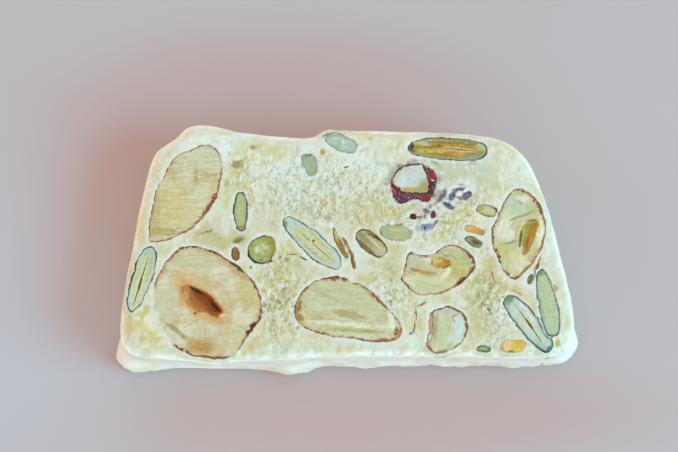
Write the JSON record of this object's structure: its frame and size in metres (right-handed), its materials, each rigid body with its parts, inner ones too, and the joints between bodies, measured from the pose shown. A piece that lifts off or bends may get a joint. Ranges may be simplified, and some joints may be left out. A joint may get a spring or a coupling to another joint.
{
  "type": "nougat slice",
  "caption": "Slice of soft white nougat lying on a cut face, set with almonds, hazelnuts, green seeds and dried fruit that are cut flush with both faces.",
  "frame": {"origin": "the middle of the bounding box, on the surface that the slice lies on", "axes": "+Z out of the upper cut face, +X along the wide base of the loaf, +Y from the base to the narrower rounded top of the loaf"},
  "size_m": [0.0926, 0.048, 0.015],
  "materials": {
    "nougat": "soft satin, faintly translucent, finely pitted where the knife dragged",
    "almond": "matt cream flesh with a thin red-brown skin at the rim",
    "hazelnut": "matt cream flesh, darker round the hollow, with a thin brown skin",
    "pale_nut": "matt bluish-white flesh",
    "pumpkin_seed": "matt pale green flesh with a dark green rim",
    "pistachio": "matt yellow-green flesh with a purple-brown skin",
    "cranberry": "moist dark red",
    "blueberry": "moist violet-blue",
    "peel": "moist candied orange",
    "apricot": "moist orange-brown",
    "sultana": "moist brown"
  },
  "bodies": {
    "root": {"almond_1": "almond", "almond_2": "almond", "almond_3": "almond", "almond_4": "almond", "almond_5": "almond", "almond_6": "almond", "almond_7": "almond", "hazelnut_1": "hazelnut", "hazelnut_2": "hazelnut", "hazelnut_4": "hazelnut", "hazelnut_3": "pale_nut", "pumpkin_seed_1": "pumpkin_seed", "pumpkin_seed_2": "pumpkin_seed", "pumpkin_seed_3": "pumpkin_seed", "pumpkin_seed_4": "pumpkin_seed", "pumpkin_seed_5": "pumpkin_seed", "pumpkin_seed_6": "pumpkin_seed", "pumpkin_seed_7": "pumpkin_seed", "pumpkin_seed_8": "pumpkin_seed", "pumpkin_seed_9": "pumpkin_seed", "pumpkin_seed_10": "pumpkin_seed", "pistachio_1": "pistachio", "pistachio_2": "pistachio", "pistachio_3": "pistachio", "pistachio_4": "pistachio", "pistachio_5": "pistachio", "pistachio_6": "pistachio", "cranberry_1": "cranberry", "cranberry_2": "cranberry", "cranberry_3": "cranberry", "cranberry_4": "cranberry", "blueberry_1": "blueberry", "blueberry_2": "blueberry", "blueberry_3": "blueberry", "blueberry_4": "blueberry", "peel_1": "peel", "peel_2": "peel", "apricot_1": "apricot", "apricot_2": "apricot", "sultana_1": "sultana", "sultana_2": "sultana", "sultana_3": "sultana", "nougat": "nougat"}
  },
  "joints": []
}
